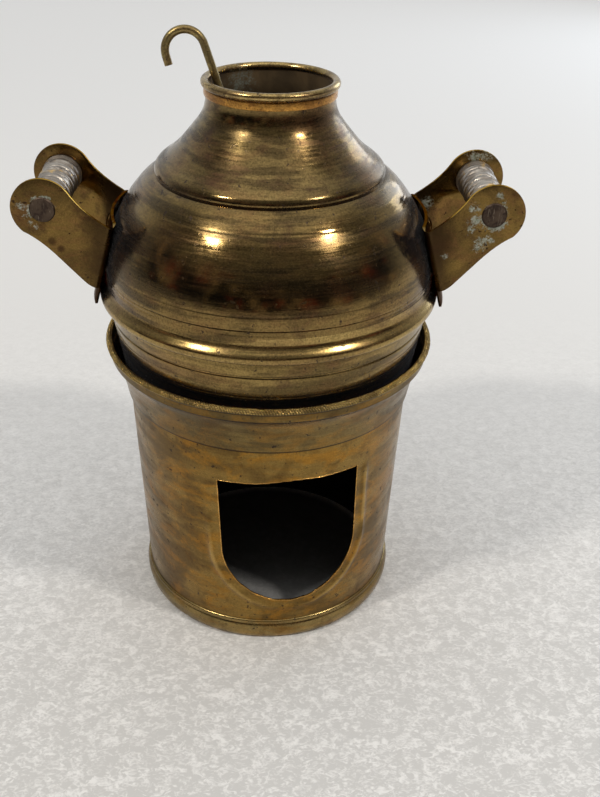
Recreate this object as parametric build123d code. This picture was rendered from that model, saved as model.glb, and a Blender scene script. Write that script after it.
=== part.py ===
# Candle lantern: an open stand with an arched door, and a two-handled body that lifts off it.
# +Z is up, the origin is on the axis at the foot, -Y is the front and all sizes are in millimetres.

import math
import os

from build123d import *

# Overall sizes
waist_r = 49.1               # the body under its bead; every other large radius follows it
tube_height = 77.2           # stand tube, from the table to the ledge that carries the body
dome_height = 29.6           # from the bead up to the shoulder
sheet = 0.8                  # thickness of all the sheet brass
clearance = 0.3              # gap between pieces that move against each other
slip = 0.06                  # radial play of a grip on its rod

# Stand tube and foot
tube_top_r = waist_r - 4.7
tube_taper = 2.9             # how much narrower the tube is at its foot
foot_height = 7.4
foot_bulge = 1.2

# Door
door_turn = 9.3              # degrees from the front towards +X
door_top_left = 21.7
door_top_right = 21.0
door_arch_r = 21.1
door_arch_shift = 0.4        # the arch sits a little to the right of the middle
door_bottom = 15.9
door_top = tube_height - 13.0
door_top_wave = 1.0          # how far the hand-cut top edge wanders

# Collar of the stand
collar_lap = 1.8             # how far the collar laps over the tube
collar_foot_r = tube_top_r + sheet
collar_mouth_r = waist_r + 0.1
collar_flare = 12.9          # height over which the collar flares
collar_band = 2.7            # height of the band under the rim
collar_step = 0.5
ledge_width = 2.9            # ledge that carries the body
rim_r = 1.1

# Body
skirt_foot_r = tube_top_r - 0.1
skirt_height = 29.3
bead_height = 7.2
bead_bulge = 2.2
bead_edge_r = 0.9            # rounding of its upright lower edge
groove_drop = 5.3            # below the bead's lower edge
groove_half = 0.5
groove_depth = 0.3
air_hole_r = 2.5
air_hole_count = 8
air_hole_ring_r = 24.0

# Dome and neck cone, as shares of the way across and up each of them
dome_curve = [(0.217, 0.505), (0.739, 0.906)]
shoulder_r = waist_r - 15.7
shoulder_width = 2.0
neck_r = 18.2
neck_height = 24.8           # from the shoulder to the mouth, without the lip
neck_straight = 3.5
seam_height = 1.1            # short upright edge above the shoulder
neck_curve = [(0.146, 0.678), (0.49, 0.365), (0.887, 0.12)]
band_height = 2.2
band_thickness = 0.45
lip_r = 1.2

# Places that follow from the sizes above
ledge_z = tube_height + sheet
collar_mouth_z = tube_height - collar_lap + collar_flare
waist_low_z = ledge_z + skirt_height
bead_z = waist_low_z + bead_height / 2
waist_high_z = waist_low_z + bead_height
shoulder_z = waist_high_z + dome_height
neck_top_z = shoulder_z + neck_height

# Handles
grip_x = waist_r + 13.9
grip_z = bead_z + 26.1
ear_outer_y = 16.3
ear_inner_y = ear_outer_y - sheet
ear_lobe_r = 8.8
ear_top_curve = [(-10.1, 1.2), (-13.2, -1.8), (-19.0, -6.0)]          # from the grip's axis
ear_foot_curve = [(-5.2, -16.4), (-8.4, -20.0), (-11.0, -22.6), (-15.0, -24.0)]
bend_r = 1.4                 # inside radius where the sheet bends
plate_drop = 3.5             # plate's lower edge below the bead's middle
plate_height = 25.0
plate_corner_r = 3.0
plate_gap = 0.65             # between the plate and the dome at its full round
plate_r = waist_r + bead_bulge + 0.1
rod_r = 3.6
rod_proud = 0.35
grip_end_r = rod_r + 2.25
grip_waist_r = rod_r + 1.35
grip_end_width = 2.4
grip_ridges = 7
ridge_height = 0.35
rivet_r = 1.4
rivet_head_r = 2.3
rivet_head_height = 1.0
rivet_rises = (8.6, 17.1)    # above the bead's middle

# Hook wire
wire_r = 1.15
wire_lean = (-0.347, 0.09, 1.0)
wire_rise = 2.3              # above the mouth, where the next point is
wire_neck_x = lip_r + wire_r + clearance - neck_r - 0.35
wire_neck_y = 2.0
stem_rise = 9.1              # the crook begins this far above the mouth
crook_r = 5.5
crook_sweep = 176.0
crook_leg = 2.6


def tube_radius(z):
    return tube_top_r - tube_taper * (1 - z / tube_height)


def skirt_radius(z):
    return skirt_foot_r + (waist_r - skirt_foot_r) * (z - ledge_z) / skirt_height


def collar_radius(z):
    share = (collar_mouth_z - z) / collar_flare
    return collar_mouth_r - (collar_mouth_r - collar_foot_r) * share


def plate_slope():
    """Radius lost per millimetre of height by a plate that leans from the bead to the dome's round."""
    across, up = dome_curve[0]
    round_r = waist_r - across * (waist_r - shoulder_r)
    round_z = waist_high_z + up * dome_height
    return (plate_r - round_r - plate_gap) / (round_z - bead_z)


def plate_radius(z):
    return plate_r - plate_slope() * (z - bead_z)


def turned(edges):
    """A solid turned about +Z from a closed outline in the XZ plane."""
    return revolve(make_face(edges), Axis.Z)


def outline(points):
    """Straight closed outline from (radius, height) pairs."""
    return Polyline(*[(r, 0, z) for r, z in points], close=True)


def ring_bead(r, z, bead_radius):
    return Pos(0, 0, z) * Torus(r, bead_radius)


def curved_wall(points, start):
    """Outer arcs through the points, each smooth with the last, and their parallels inside."""
    outer = []
    inner = []
    along = Vector(*start)
    place = Vector(points[0][0], 0, points[0][1])
    for r, z in points[1:]:
        end = Vector(r, 0, z)
        arc = TangentArc(place, end, tangent=along)
        next_along = arc % 1
        inner.append(TangentArc(inside(place, along), inside(end, next_along), tangent=along))
        outer.append(arc)
        place = end
        along = next_along
    return outer, inner


def inside(place, along):
    """The point a sheet's thickness inside a wall that runs downwards and outwards."""
    return place + Vector(along.Z, 0, -along.X) * sheet


def join(*points):
    """Straight lines from point to point."""
    return Polyline(*points)


# Stand

def door_cutter():
    """Arched outline pushed out through the front wall, with a slightly wavy top edge."""
    arch_z = door_bottom + door_arch_r
    arch_left = (door_arch_shift - door_arch_r, 0, arch_z)
    arch_right = (door_arch_shift + door_arch_r, 0, arch_z)
    left_top = (-door_top_left, 0, door_top - door_top_wave)
    right_top = (door_top_right, 0, door_top)
    top = Spline(
        left_top,
        (-0.4 * door_top_left, 0, door_top - 0.3 * door_top_wave),
        (0.15 * door_top_right, 0, door_top + 0.5 * door_top_wave),
        (0.6 * door_top_right, 0, door_top + 0.2 * door_top_wave),
        right_top,
    )
    left_side = Line(arch_left, left_top)
    right_side = Line(right_top, arch_right)
    arch = ThreePointArc(arch_right, (door_arch_shift, 0, door_bottom), arch_left)
    face = make_face([left_side, top, right_side, arch])
    return Rot(0, 0, door_turn) * extrude(face, amount=2 * tube_top_r, dir=(0, -1, 0))


def stand_tube():
    wall = turned(outline([
        (tube_radius(0) - sheet, 0),
        (tube_radius(0), 0),
        (tube_radius(tube_height), tube_height),
        (tube_radius(tube_height) - sheet, tube_height),
    ]))
    return wall - door_cutter()


def foot_ring():
    """Half-round ring that hugs the tube's foot."""
    low = (tube_radius(0), 0, 0)
    high = (tube_radius(foot_height), 0, foot_height)
    lip = (tube_radius(0) + 0.2 * foot_bulge, 0, 0)
    belly = (tube_radius(foot_height / 2) + foot_bulge, 0, 0.48 * foot_height)
    round_face = ThreePointArc(lip, belly, high)
    return turned([Line(low, lip), round_face, Line(high, low)])


def stand_collar():
    foot = tube_height - collar_lap
    band_r = collar_mouth_r + collar_step
    mouth_inner = collar_mouth_r - sheet
    return turned(outline([
        (tube_radius(foot), foot),
        (collar_foot_r, foot),
        (collar_mouth_r, collar_mouth_z),
        (band_r, collar_mouth_z + collar_step),
        (band_r, collar_mouth_z + collar_step + collar_band),
        (band_r - sheet, collar_mouth_z + collar_step + collar_band),
        (band_r - sheet, collar_mouth_z + 2 * collar_step),
        (mouth_inner, collar_mouth_z + collar_step),
        (collar_radius(ledge_z) - sheet, ledge_z),
        (tube_top_r - ledge_width, ledge_z),
        (tube_top_r - ledge_width, tube_height),
        (tube_radius(tube_height), tube_height),
    ]))


def collar_rim(collar):
    """Roll closed over the collar's upper edge."""
    r = collar_mouth_r + collar_step
    z = collar_mouth_z + collar_step + collar_band + rim_r * 0.55
    return ring_bead(r, z, rim_r) - collar


# Body

def body_skirt():
    groove_z = waist_low_z - groove_drop
    return turned(outline([
        (skirt_foot_r - sheet, ledge_z),
        (skirt_foot_r, ledge_z),
        (skirt_radius(groove_z - groove_half), groove_z - groove_half),
        (skirt_radius(groove_z) - groove_depth, groove_z),
        (skirt_radius(groove_z + groove_half), groove_z + groove_half),
        (waist_r, waist_low_z),
        (waist_r, bead_z),
        (waist_r - sheet, bead_z),
        (waist_r - sheet, waist_low_z),
    ]))


def floor_plate():
    """Disc inside the skirt's foot, with a ring of air holes round a middle one."""
    top = ledge_z + sheet
    plate = turned(outline([
        (0, ledge_z),
        (skirt_foot_r - sheet, ledge_z),
        (skirt_radius(top) - sheet, top),
        (0, top),
    ]))
    hole = Pos(0, 0, ledge_z) * Cylinder(air_hole_r, 4 * sheet)
    holes = [hole]
    for index in range(air_hole_count):
        holes.append(Rot(0, 0, 360 * index / air_hole_count) * Pos(air_hole_ring_r, 0, 0) * hole)
    return plate - holes


def body_bead():
    """Bead with a cove above, a sloping shoulder and a short upright lower edge."""
    full_r = waist_r + bead_bulge
    edge_foot = waist_low_z + bead_edge_r
    cove_end = (waist_r + 0.14 * bead_bulge, 0, waist_low_z + 0.73 * bead_height)
    shoulder_end = (full_r - 0.1 * bead_edge_r, 0, waist_low_z + 0.33 * bead_height)
    cove = ThreePointArc(
        (waist_r, 0, waist_high_z),
        (waist_r + 0.02 * bead_bulge, 0, waist_low_z + 0.86 * bead_height),
        cove_end,
    )
    shoulder = ThreePointArc(cove_end, (waist_r + 0.59 * bead_bulge, 0, bead_z + 0.04 * bead_height), shoulder_end)
    lip = join(shoulder_end, (full_r, 0, edge_foot + 0.6 * bead_edge_r), (full_r, 0, edge_foot))
    foot = ThreePointArc(
        (full_r, 0, edge_foot),
        (full_r - 0.3 * bead_edge_r, 0, waist_low_z + 0.3 * bead_edge_r),
        (full_r - bead_edge_r, 0, waist_low_z),
    )
    base = join((full_r - bead_edge_r, 0, waist_low_z), (waist_r, 0, waist_low_z), (waist_r, 0, waist_high_z))
    return turned([cove, shoulder, lip, foot, base])


def body_dome():
    curve = [(shoulder_r, shoulder_z)]
    for across, up in reversed(dome_curve):
        curve.append((waist_r - across * (waist_r - shoulder_r), waist_high_z + up * dome_height))
    curve.append((waist_r, waist_high_z))
    start = (math.cos(math.radians(22)), 0, -math.sin(math.radians(22)))
    outer, inner = curved_wall(curve, start)
    shoulder_inner_r = shoulder_r - shoulder_width
    shoulder = join(
        inner[0] @ 0,
        (shoulder_inner_r, 0, (inner[0] @ 0).Z),
        (shoulder_inner_r, 0, shoulder_z),
        outer[0] @ 0,
    )
    waist = join(outer[-1] @ 1, (waist_r, 0, bead_z), (waist_r - sheet, 0, bead_z), inner[-1] @ 1)
    return turned(outer + inner + [shoulder, waist])


def neck_cone():
    seam_r = shoulder_r - 0.1
    throat_z = neck_top_z - neck_straight
    seam_z = shoulder_z + seam_height
    curve = [(neck_r, throat_z)]
    for across, up in neck_curve:
        curve.append((neck_r + across * (seam_r - neck_r), seam_z + up * (throat_z - seam_z)))
    curve.append((seam_r, seam_z))
    outer, inner = curved_wall(curve, (0, 0, -1))
    throat = join(inner[0] @ 0, (neck_r - sheet, 0, neck_top_z), (neck_r, 0, neck_top_z), outer[0] @ 0)
    seam = join(outer[-1] @ 1, (seam_r, 0, shoulder_z), (seam_r - sheet, 0, shoulder_z), inner[-1] @ 1)
    return turned(outer + inner + [throat, seam])


def neck_band(cone):
    high = neck_top_z - 0.95 * lip_r
    low = high - band_height
    edge = 0.4 * band_thickness
    band = turned(outline([
        (neck_r, low),
        (neck_r + band_thickness - edge, low),
        (neck_r + band_thickness, low + edge),
        (neck_r + band_thickness, high - edge),
        (neck_r + band_thickness - edge, high),
        (neck_r, high),
    ]))
    return band - cone


def neck_lip(cone, band):
    return ring_bead(neck_r, neck_top_z + 0.1, lip_r) - cone - band


# Handles, built at +X and turned half a turn for the other side

def corner(face, x, y, z, radius):
    """Round the outline's corner nearest to a point."""
    nearest = face.vertices().sort_by_distance((x, y, z))[0]
    return fillet(nearest, radius)


def bracket_section(z):
    """U of sheet at one height: an arc round the body that bends into two ears along +X."""
    inner = plate_radius(z)
    outer = inner + sheet
    reach = grip_x + 2 * ear_lobe_r
    strip = Pos(reach / 2, 0) * Rectangle(reach, 2 * ear_outer_y)
    face = (Circle(outer) - Circle(inner)) & strip
    root_x = (inner + outer) / 2 - (inner - math.sqrt(inner ** 2 - ear_outer_y ** 2))
    for side in (-1, 1):
        ear_y = side * (ear_inner_y + ear_outer_y) / 2
        face += Pos((root_x + reach) / 2, ear_y) * Rectangle(reach - root_x, sheet)
    for side in (-1, 1):
        x = math.sqrt(outer ** 2 - ear_inner_y ** 2)
        face = corner(face, x, side * ear_inner_y, 0, bend_r)
        x = math.sqrt(inner ** 2 - ear_outer_y ** 2)
        face = corner(face, x, side * ear_outer_y, 0, bend_r + sheet)
    return Pos(0, 0, z) * face.face()


def ear_outline():
    """Side view of an ear: a round lobe drawn down into the bend."""
    centre = Vector(grip_x, 0, grip_z)

    def on_lobe(degrees):
        angle = math.radians(degrees)
        return centre + Vector(math.cos(angle), 0, math.sin(angle)) * ear_lobe_r

    top_points = [centre + Vector(x, 0, z) for x, z in ear_top_curve]
    foot_points = [centre + Vector(x, 0, z) for x, z in ear_foot_curve]
    top_start = on_lobe(150)
    foot_start = on_lobe(-47)
    lobe = ThreePointArc(foot_start, on_lobe(52), top_start)
    top = Spline(top_start, *top_points)
    foot = Spline(foot_start, *foot_points)
    inward = join(
        top_points[-1],
        (waist_r / 2, 0, top_points[-1].Z),
        (waist_r / 2, 0, foot_points[-1].Z),
        foot_points[-1],
    )
    return make_face([lobe, top, inward, foot])


def rivet(z):
    """Rivet square to the plate, through the plate and the dome behind it."""
    normal = Vector(1, 0, plate_slope()).normalized()
    surface = Plane(origin=(plate_radius(z) + sheet, 0, z), z_dir=normal)
    depth = 2.3 * sheet + clearance
    shank = Pos(0, 0, -depth / 2) * Cylinder(rivet_r, depth + 0.2 * sheet)
    head = Pos(0, 0, rivet_head_height / 2 - 0.1 * sheet) * Cone(rivet_head_r, rivet_r, rivet_head_height)
    tail = Pos(0, 0, -depth) * Cylinder(rivet_head_r, sheet)
    return surface * (shank + head + tail)


def bracket_rivets():
    return [rivet(bead_z + rise) for rise in rivet_rises]


def grip_axis():
    return Pos(grip_x, 0, grip_z) * Rot(-90, 0, 0)


def grip_rod():
    half = ear_outer_y + rod_proud
    rod = Cylinder(rod_r, 2 * half)
    return grip_axis() * chamfer(rod.edges().filter_by(GeomType.CIRCLE), 0.3)


def bracket(rivets, rod):
    plate_foot_z = bead_z - plate_drop
    low = plate_foot_z - 1
    high = grip_z + ear_lobe_r + 1
    folded = loft([bracket_section(low), bracket_section(high)], ruled=True)
    ears = folded & extrude(ear_outline(), amount=ear_outer_y + 1, dir=(0, 1, 0), both=True)
    front = Plane.YZ * Pos(0, plate_foot_z + plate_height / 2) * RectangleRounded(
        2 * ear_outer_y, plate_height, plate_corner_r
    )
    core = turned(outline([
        (0, low),
        (plate_radius(low) + 1.1 * sheet, low),
        (plate_radius(high) + 1.1 * sheet, high),
        (0, high),
    ]))
    plate = folded & core & extrude(front, amount=2 * waist_r, dir=(1, 0, 0))
    return plate + ears - rod - rivets


def grip():
    """Turned sleeve: flared ends, a slight waist and a row of round ridges."""
    half = ear_inner_y - clearance
    ribbed = half - grip_end_width
    pitch = 2 * ribbed / grip_ridges

    def base(along):
        return grip_waist_r + (grip_end_r - 2 * ridge_height - grip_waist_r) * (along / ribbed) ** 2

    edges = [Polyline(
        (base(-ribbed), 0, -ribbed),
        (grip_end_r, 0, -ribbed - ridge_height),
        (grip_end_r, 0, -half),
        (rod_r + slip, 0, -half),
        (rod_r + slip, 0, half),
        (grip_end_r, 0, half),
        (grip_end_r, 0, ribbed + ridge_height),
        (base(ribbed), 0, ribbed),
    )]
    for index in range(grip_ridges):
        low = -ribbed + index * pitch
        middle = low + pitch / 2
        high = -ribbed + (index + 1) * pitch
        edges.append(ThreePointArc(
            (base(low), 0, low),
            (base(middle) + ridge_height, 0, middle),
            (base(high), 0, high),
        ))
    return grip_axis() * turned(edges)


# Hook wire

def hook_wire():
    """Wire that stands on the floor plate, leans in the neck and ends in a crook outside."""
    up = Vector(*wire_lean).normalized()
    side = (Vector(-1, 0, 0) - up * Vector(-1, 0, 0).dot(up)).normalized()
    lean = math.acos(up.Z)
    foot_z = ledge_z + sheet + clearance + wire_r * math.sin(lean)
    neck = Vector(wire_neck_x, wire_neck_y, neck_top_z + wire_rise)

    def stem_at(z):
        return neck + up * ((z - neck.Z) / up.Z)

    def crook_at(degrees):
        angle = math.radians(degrees)
        centre = stem_at(neck_top_z + stem_rise) + side * crook_r
        return centre + (up * math.sin(angle) - side * math.cos(angle)) * crook_r

    end_angle = math.radians(crook_sweep)
    heading = side * math.sin(end_angle) + up * math.cos(end_angle)
    stem = Line(stem_at(foot_z), stem_at(neck_top_z + stem_rise))
    crook = ThreePointArc(crook_at(0), crook_at(crook_sweep / 2), crook_at(crook_sweep))
    leg = Line(crook_at(crook_sweep), crook_at(crook_sweep) + heading * crook_leg)
    start = Plane(origin=stem @ 0, z_dir=up)
    return sweep(start * Circle(wire_r), path=Wire([stem, crook, leg]))


def build():
    collar = stand_collar()
    cone = neck_cone()
    band = neck_band(cone)
    rivets = bracket_rivets()
    rod = grip_rod()
    handle = {
        "bracket": bracket(rivets, rod),
        "bracket_rivets": Compound(children=rivets),
        "grip_rod": rod,
        "grip": grip(),
    }
    half_turn = Rot(0, 0, 180)
    all_rivets = rivets + [half_turn * piece for piece in rivets]
    parts = {
        "stand_tube": stand_tube(),
        "foot_ring": foot_ring(),
        "stand_collar": collar,
        "collar_rim": collar_rim(collar),
        "body_skirt": body_skirt(),
        "floor_plate": floor_plate(),
        "body_bead": body_bead(),
        "body_dome": body_dome() - all_rivets,
        "neck_cone": cone,
        "neck_band": band,
        "neck_lip": neck_lip(cone, band),
        "hook_wire": hook_wire(),
    }
    for name, shape in handle.items():
        parts["right_" + name] = shape
        parts["left_" + name] = half_turn * shape
    return parts


os.makedirs("parts", exist_ok=True)
for node, shape in build().items():
    export_step(shape, "parts/" + node + ".step")
    print(node, round(shape.volume, 1), len(shape.solids()), shape.is_valid)
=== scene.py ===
import math

import bmesh
import bpy
from mathutils import Matrix, Vector


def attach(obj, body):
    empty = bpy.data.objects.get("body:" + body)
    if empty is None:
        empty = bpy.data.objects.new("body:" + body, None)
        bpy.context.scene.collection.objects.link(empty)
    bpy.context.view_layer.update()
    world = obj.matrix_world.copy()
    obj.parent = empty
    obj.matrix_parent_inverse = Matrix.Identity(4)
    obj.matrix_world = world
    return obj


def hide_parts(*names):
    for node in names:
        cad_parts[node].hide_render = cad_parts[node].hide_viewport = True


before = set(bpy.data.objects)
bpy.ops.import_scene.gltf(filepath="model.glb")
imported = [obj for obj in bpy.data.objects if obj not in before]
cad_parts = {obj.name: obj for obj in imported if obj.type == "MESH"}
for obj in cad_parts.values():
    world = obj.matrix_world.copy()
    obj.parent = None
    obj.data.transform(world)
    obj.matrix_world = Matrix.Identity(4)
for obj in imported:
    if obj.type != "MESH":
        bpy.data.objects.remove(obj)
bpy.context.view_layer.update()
mm = 0.001
print("frame loaded")

# outlines and turned pieces


def turn2d(vector, angle):
    c, s = math.cos(angle), math.sin(angle)
    return (vector[0] * c - vector[1] * s, vector[0] * s + vector[1] * c)


def arcRun(start, heading, ends, step):
    # smooth run of arcs through the ends: a list of (r, z, headingR, headingZ)
    size = math.hypot(*heading)
    heading = (heading[0] / size, heading[1] / size)
    run = [(*start, *heading)]
    for end in ends:
        chord = (end[0] - start[0], end[1] - start[1])
        length = math.hypot(*chord)
        cross = heading[0] * chord[1] - heading[1] * chord[0]
        dot = heading[0] * chord[0] + heading[1] * chord[1]
        half = math.atan2(cross, dot)
        radius = length / (2 * math.sin(half)) if abs(half) > 1e-6 else 0
        arcLength = abs(2 * half * radius) if radius else length
        count = max(2, math.ceil(arcLength / step))
        for index in range(1, count + 1):
            part = index / count
            reach = 2 * radius * math.sin(half * part) if radius else length * part
            along = turn2d(heading, half * part)
            ahead = turn2d(heading, 2 * half * part)
            run.append((start[0] + along[0] * reach, start[1] + along[1] * reach, *ahead))
        heading = turn2d(heading, 2 * half)
        start = end
    return run


def lineRun(points, step):
    run = []
    for a, b in zip(points, points[1:]):
        length = math.hypot(b[0] - a[0], b[1] - a[1])
        heading = ((b[0] - a[0]) / length, (b[1] - a[1]) / length)
        count = max(1, math.ceil(length / step))
        for index in range(count):
            part = index / count
            run.append((a[0] + (b[0] - a[0]) * part, a[1] + (b[1] - a[1]) * part, *heading))
    run.append((*points[-1], *heading))
    return run


def score(run, marks):
    # sinks fine turned lines into a run: marks are (height, half width, depth)
    scored = []
    for r, z, hr, hz in run:
        sink = sum(depth * math.exp(-((z - at) / width) ** 2) for at, width, depth in marks)
        scored.append((r + hz * sink, z - hr * sink, hr, hz))
    return scored


def wallLoop(run, thickness, innerStep=5):
    # closed outline of a sheet: the outer run, then its inner parallel back again
    outer = [(r, z) for r, z, hr, hz in run]
    inner = [(r + hz * thickness, z - hr * thickness) for r, z, hr, hz in run]
    thinned = inner[::innerStep]
    if thinned[-1] != inner[-1]:
        thinned.append(inner[-1])
    return outer + thinned[::-1]


def hardEdges(piece, degrees=32):
    piece.data.shade_smooth()
    piece.data.set_sharp_from_angle(angle=math.radians(degrees))


def newPiece(name, build):
    mesh = bpy.data.meshes.new(name)
    work = bmesh.new()
    build(work)
    bmesh.ops.recalc_face_normals(work, faces=work.faces)
    work.to_mesh(mesh)
    work.free()
    piece = bpy.data.objects.new(name, mesh)
    bpy.context.scene.collection.objects.link(piece)
    return piece


def turnedPiece(name, loop, segments=288, wobble=None, outerCount=None):
    # a closed outline in millimetres, turned about the lantern's axis
    # points from outerCount on are marked as the inner face
    def build(work):
        inside = work.verts.layers.float.new("inside")
        rings = []
        for index in range(segments):
            angle = 2 * math.pi * index / segments
            ring = []
            for place, (r, z) in enumerate(loop):
                reach = r + (wobble(angle, z) if wobble else 0)
                corner = work.verts.new(Vector((reach * math.sin(angle), -reach * math.cos(angle), z)) * mm)
                corner[inside] = 1.0 if outerCount is not None and place >= outerCount else 0.0
                ring.append(corner)
            rings.append(ring)
        for index in range(segments):
            here, there = rings[index], rings[(index + 1) % segments]
            for step in range(len(loop)):
                after = (step + 1) % len(loop)
                work.faces.new((here[step], there[step], there[after], here[after]))
    piece = newPiece(name, build)
    hardEdges(piece)
    return piece


def handWobble(size, seed):
    # slow unevenness of hand-worked sheet, in millimetres
    def wobble(angle, z):
        return size * (
            0.5 * math.sin(2 * angle + seed + z * 0.021)
            + 0.3 * math.sin(3 * angle - 2.1 * seed + z * 0.047)
            + 0.2 * math.sin(7 * angle + 3.7 * seed - z * 0.09)
        )
    return wobble


# shader writing


class Signal:
    # one output socket, so that masks can be written as sums and products
    def __init__(self, tree, socket=None):
        self.tree = tree
        self.socket = socket

    def add(self, kind, settings=None, inputs=None, output=0):
        node = self.tree.nodes.new(kind)
        for name, value in (settings or {}).items():
            setattr(node, name, value)
        for name, value in (inputs or {}).items():
            if isinstance(value, Signal):
                self.tree.links.new(value.socket, node.inputs[name])
            else:
                node.inputs[name].default_value = value
        return Signal(self.tree, node.outputs[output])

    def math(self, operation, first, second=0.0):
        return self.add("ShaderNodeMath", {"operation": operation}, {0: first, 1: second})

    def __add__(self, other):
        return self.math("ADD", self, other)

    def __radd__(self, other):
        return self.math("ADD", other, self)

    def __sub__(self, other):
        return self.math("SUBTRACT", self, other)

    def __rsub__(self, other):
        return self.math("SUBTRACT", other, self)

    def __mul__(self, other):
        return self.math("MULTIPLY", self, other)

    def __rmul__(self, other):
        return self.math("MULTIPLY", other, self)

    def __truediv__(self, other):
        return self.math("DIVIDE", self, other)

    def __rtruediv__(self, other):
        return self.math("DIVIDE", other, self)

    def smooth(self, low, high):
        # 0 below low, 1 above high
        settings = {"interpolation_type": "SMOOTHSTEP", "clamp": True}
        return self.add("ShaderNodeMapRange", settings, {0: self, 1: low, 2: high, 3: 0.0, 4: 1.0})

    def noise(self, vector, scale, detail=3.0, rough=0.55, twist=0.0):
        inputs = {"Vector": vector, "Scale": scale, "Detail": detail, "Roughness": rough, "Distortion": twist}
        return self.add("ShaderNodeTexNoise", None, inputs, "Fac")

    def mark(self, name):
        # a number kept on the piece's points or faces
        return self.add("ShaderNodeAttribute", {"attribute_name": name}, output="Fac")

    def distance(self, first, second):
        return self.add("ShaderNodeVectorMath", {"operation": "DISTANCE"}, {0: first, 1: second}, "Value")

    def parts(self, vector):
        return [self.add("ShaderNodeSeparateXYZ", None, {0: vector}, index) for index in range(3)]

    def mixTone(self, amount, first, second):
        settings = {"data_type": "RGBA", "clamp_factor": True}
        return self.add("ShaderNodeMix", settings, {0: amount, 6: first, 7: second}, 2)

    def vector(self, operation, first, second):
        return self.add("ShaderNodeVectorMath", {"operation": operation}, {0: first, 1: second})

    def join(self, x, y, z):
        return self.add("ShaderNodeCombineXYZ", None, {0: x, 1: y, 2: z})


def tone(r, g, b):
    return (r, g, b, 1.0)


def turnedPlace(start):
    # object place, its three parts and its distance from the lantern's axis
    place = start.add("ShaderNodeTexCoord", output="Object")
    x, y, z = start.parts(place)
    reach = start.math("SQRT", x * x + y * y + 1e-9)
    return place, x, y, z, reach


def spot(start, place, centre, radius, soft):
    # 1 within a radius of a point, fading to 0
    return 1 - start.distance(place, centre).smooth(radius - soft, radius + soft)


def limited(start, value, low, high):
    return start.math("MINIMUM", start.math("MAXIMUM", value, low), high)


def newMaterial(name):
    material = bpy.data.materials.new(name)
    material.use_nodes = True
    material.node_tree.nodes.clear()
    return material, Signal(material.node_tree)


def finishMaterial(start, shader):
    out = start.tree.nodes.new("ShaderNodeOutputMaterial")
    start.tree.links.new(shader.socket, out.inputs["Surface"])


def bloomMask(start, place, x, z, look):
    # powdery patches at chosen places, and broken rings round the rods
    bloom = 0.0
    for centre, radius in look["bloomSpots"]:
        near = spot(start, place, centre, radius * 0.9, radius * 0.8)
        bloom = start.math("MAXIMUM", bloom, near)
    for ringX, ringZ, inner, outer in look.get("bloomRings", ()):
        flat = start.math("SQRT", (x - ringX) * (x - ringX) + (z - ringZ) * (z - ringZ))
        ring = flat.smooth(inner * 0.94, inner) * (1 - flat.smooth(inner * 1.04, outer))
        ring = ring * (0.45 + start.noise(place, 210.0, 2.0, 0.5).smooth(0.4, 0.6) * 0.75)
        bloom = start.math("MAXIMUM", bloom, ring)
    broken = start.noise(place, 480.0, 5.0, 0.8, 0.8)
    powder = start.noise(place, 1700.0, 2.0, 0.7)
    bloom = bloom + (broken - 0.5) * 2.6 + (powder - 0.5) * 1.1
    return bloom.smooth(0.62, 1.25) * look["bloomAmount"], powder


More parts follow.
